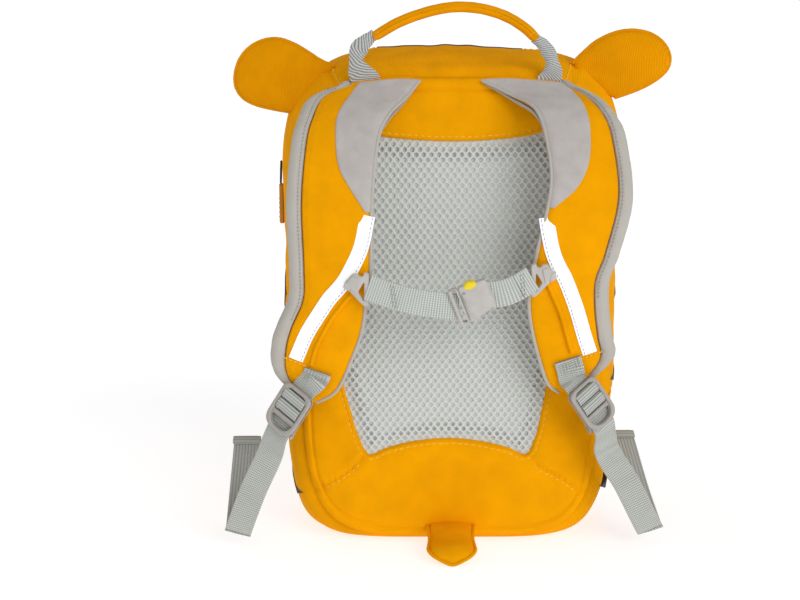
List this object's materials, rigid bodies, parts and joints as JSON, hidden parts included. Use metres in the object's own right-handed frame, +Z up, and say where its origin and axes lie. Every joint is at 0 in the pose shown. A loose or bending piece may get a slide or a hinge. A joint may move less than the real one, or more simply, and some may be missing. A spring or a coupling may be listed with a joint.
{
  "type": "kids animal backpack",
  "caption": "Small child's backpack with round ears, a stuffed tail, padded shoulder straps, a buckled chest strap and a haul loop, standing upright.",
  "frame": {"origin": "middle of the flat bottom that the bag stands on", "axes": "+Z up the bag, -Y out of the wearer's side with the harness, +X to the right when looking at the harness"},
  "size_m": [0.3106, 0.2079, 0.3813],
  "materials": {
    "yellow_cloth": "twill woven polyester, matt",
    "spacer_mesh": "open spacer mesh, matt",
    "zip_tape": "woven zip tape with coil teeth",
    "dark_cloth": "twill woven polyester, matt",
    "grip_cloth": "twill sleeve round a padded core",
    "zip_metal": "painted zinc slider",
    "pull_cord": "thin braided cord",
    "pull_plastic": "moulded soft plastic pull",
    "plastic": "fine-grained moulded acetal",
    "button_plastic": "satin moulded plastic",
    "webbing": "ribbed woven webbing",
    "lining": "knitted lining rolled over foam",
    "suede": "brushed velour",
    "reflective": "retroreflective coated tape"
  },
  "bodies": {
    "root": {"back_panel": "yellow_cloth", "front_panel": "yellow_cloth", "gusset_back": "yellow_cloth", "gusset_front": "yellow_cloth", "gusset_bottom": "yellow_cloth", "ear_left": "yellow_cloth", "ear_right": "yellow_cloth", "tail": "yellow_cloth", "strap_left": "yellow_cloth", "strap_right": "yellow_cloth", "clip_rail_left": "yellow_cloth", "clip_rail_right": "yellow_cloth", "spacer_panel": "spacer_mesh", "zip_tape": "zip_tape", "top_stripe": "dark_cloth", "side_stripe_left_1": "dark_cloth", "side_stripe_left_2": "dark_cloth", "side_stripe_right_1": "dark_cloth", "side_stripe_right_2": "dark_cloth", "side_stripe_right_3": "dark_cloth", "handle_grip": "grip_cloth", "zip_slider": "zip_metal", "zip_cord": "pull_cord", "zip_pull": "pull_plastic", "buckle_body": "plastic", "buckle_tongue": "plastic", "ladder_lock_left": "plastic", "ladder_lock_right": "plastic", "chest_clip_left": "plastic", "chest_clip_right": "plastic", "buckle_button": "button_plastic", "handle_webbing_left": "webbing", "handle_webbing_right": "webbing", "strap_tab_left": "webbing", "strap_tab_right": "webbing", "adjust_webbing_left": "webbing", "adjust_webbing_right": "webbing", "chest_webbing_left": "webbing", "chest_webbing_right": "webbing", "strap_lining_left": "lining", "strap_lining_right": "lining", "shoulder_patch_left": "suede", "shoulder_patch_right": "suede", "reflective_tape_left": "reflective", "reflective_tape_right": "reflective"}
  },
  "joints": []
}
